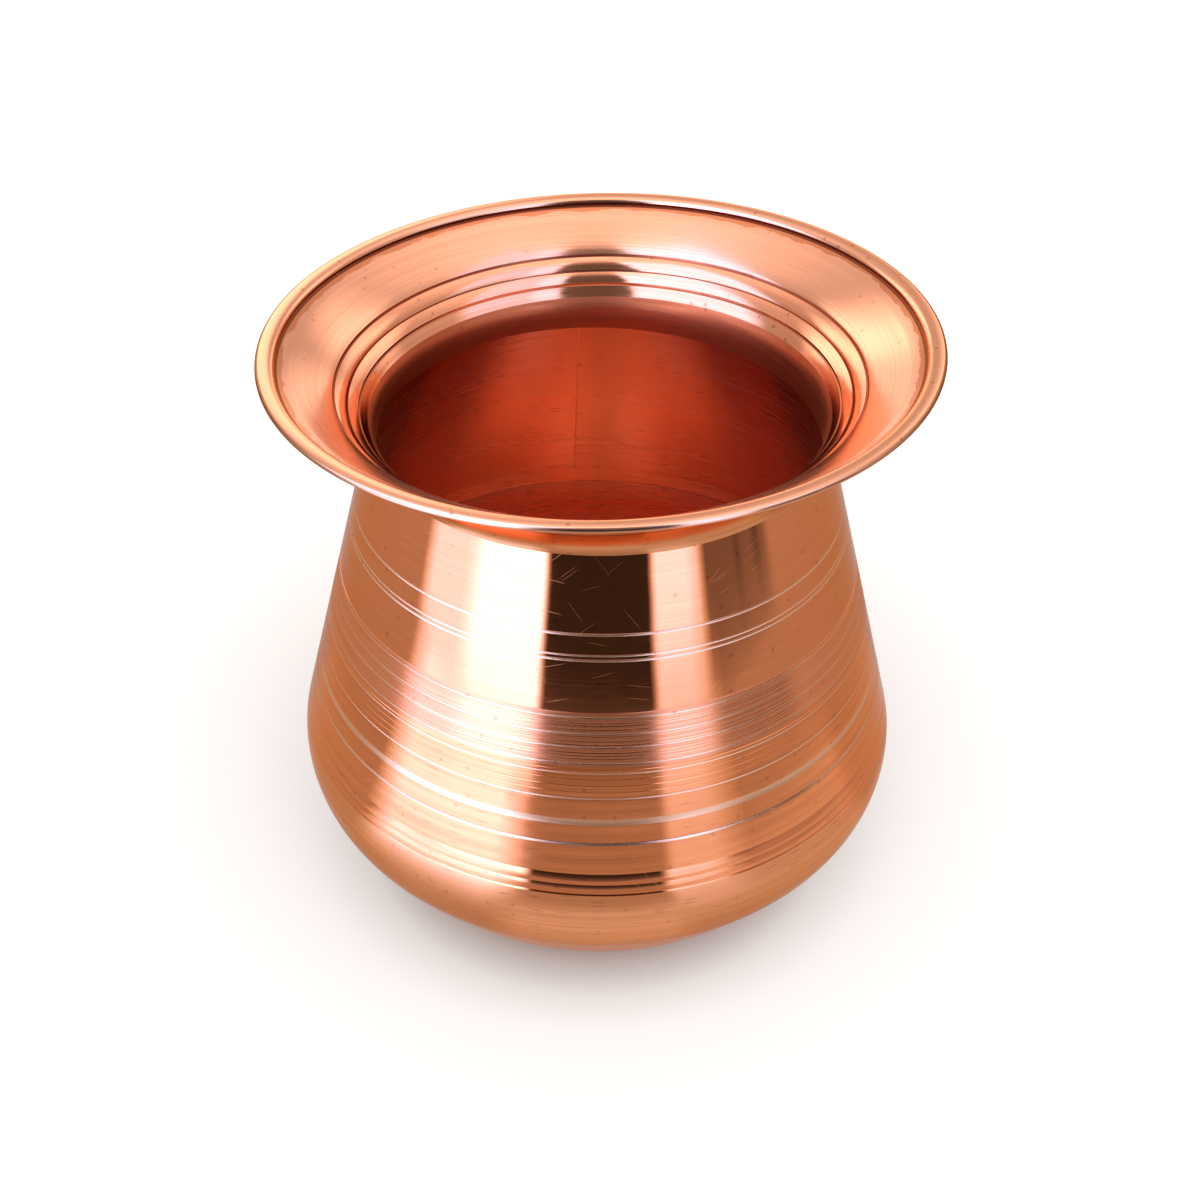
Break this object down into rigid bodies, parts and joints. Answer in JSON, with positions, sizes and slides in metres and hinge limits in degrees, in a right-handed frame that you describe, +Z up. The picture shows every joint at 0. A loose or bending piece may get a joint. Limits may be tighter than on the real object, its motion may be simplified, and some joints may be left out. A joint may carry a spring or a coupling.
{
  "type": "copper lota",
  "caption": "Round copper water pot with a conical body, a rounded belly, a flat resting base, a narrow neck and a wide flared mouth with a folded rim.",
  "frame": {"origin": "centre of the flat underside that the pot rests on", "axes": "+Z up along the pot's own axis, -Y towards the viewer of the picture, +X to the viewer's right"},
  "size_m": [0.12, 0.12, 0.1186],
  "materials": {
    "polished_copper": "polished copper with turned lines",
    "braze": "rough brazing metal"
  },
  "bodies": {
    "root": {"mouth_collar": "polished_copper", "body_wall": "polished_copper", "side_seam_braze": "braze", "base_bowl": "polished_copper", "neck_braze": "braze", "base_braze": "braze"}
  },
  "joints": []
}
